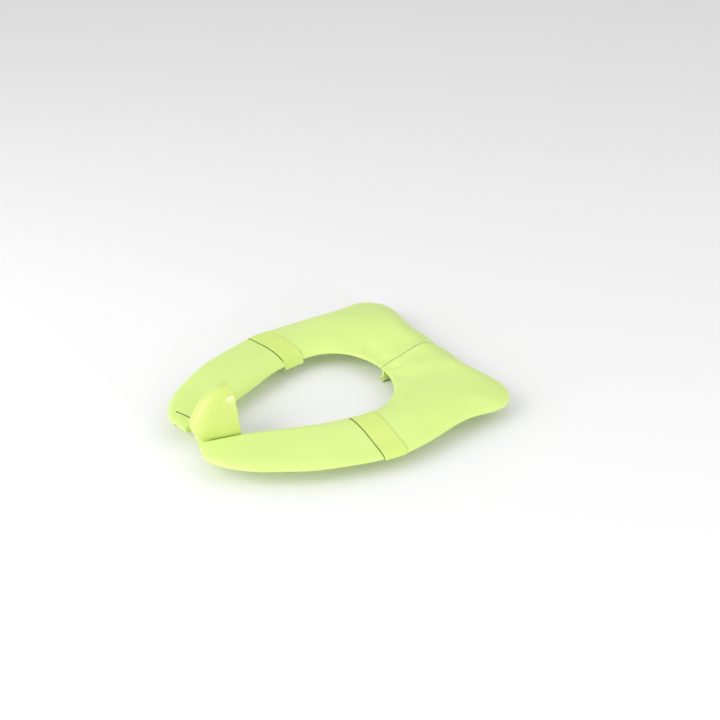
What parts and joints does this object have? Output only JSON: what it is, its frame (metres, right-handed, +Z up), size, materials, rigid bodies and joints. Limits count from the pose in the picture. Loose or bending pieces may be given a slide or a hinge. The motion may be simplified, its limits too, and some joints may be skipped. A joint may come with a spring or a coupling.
{
  "type": "folding potty training seat",
  "caption": "Folding child potty seat for a toilet: four hinged plastic ring panels with rear ears, hinge bands, underside pads and a lift-off splash guard",
  "frame": {"origin": "The middle of the ring's width, on the plane of the pads' undersides that lie on the toilet seat ring", "axes": "+Z up, +Y to the rear of the seat where the ears are, X across; the outline is symmetric about X = 0"},
  "size_m": [0.286, 0.3338, 0.0688],
  "materials": {
    "panel_plastic": "moulded lime green plastic, satin to gloss",
    "band_plastic": "slightly darker lime green, matt",
    "guard_plastic": "moulded lime green plastic, gloss",
    "pin_steel": "plain steel rod",
    "pad_silicone": "soft matt silicone"
  },
  "bodies": {
    "rear_right": {"rear_right_panel": "panel_plastic", "right_hinge_band": "band_plastic", "centre_hinge_pin": "pin_steel", "right_hinge_pin": "pin_steel", "ear_right_pad": "pad_silicone"},
    "rear_left": {"rear_left_panel": "panel_plastic", "left_hinge_band": "band_plastic", "left_hinge_pin": "pin_steel", "ear_left_pad": "pad_silicone"},
    "front_right": {"front_right_panel": "panel_plastic", "front_right_pad": "pad_silicone"},
    "front_left": {"front_left_panel": "panel_plastic", "front_left_pad": "pad_silicone"},
    "guard": {"splash_guard": "guard_plastic"}
  },
  "joints": [
    {"name": "centre_fold", "type": "hinge", "parent": "rear_right", "child": "rear_left", "pos_m": [0, 0.094, -0.0065], "axis": [0, -1, 0], "range_deg": [0, 180]},
    {"name": "right_front_fold", "type": "hinge", "parent": "rear_right", "child": "front_right", "pos_m": [0.0598, -0.0117, 0.0053], "axis": [0.9967, -0.0816, 0], "range_deg": [0, 180]},
    {"name": "left_front_fold", "type": "hinge", "parent": "rear_left", "child": "front_left", "pos_m": [-0.0598, -0.0117, 0.0053], "axis": [0.9967, 0.0816, 0], "range_deg": [0, 180]},
    {"name": "guard_lift", "type": "slide", "parent": "rear_right", "child": "guard", "axis": [0, 0, 1], "range_m": [0, 0.08]}
  ]
}
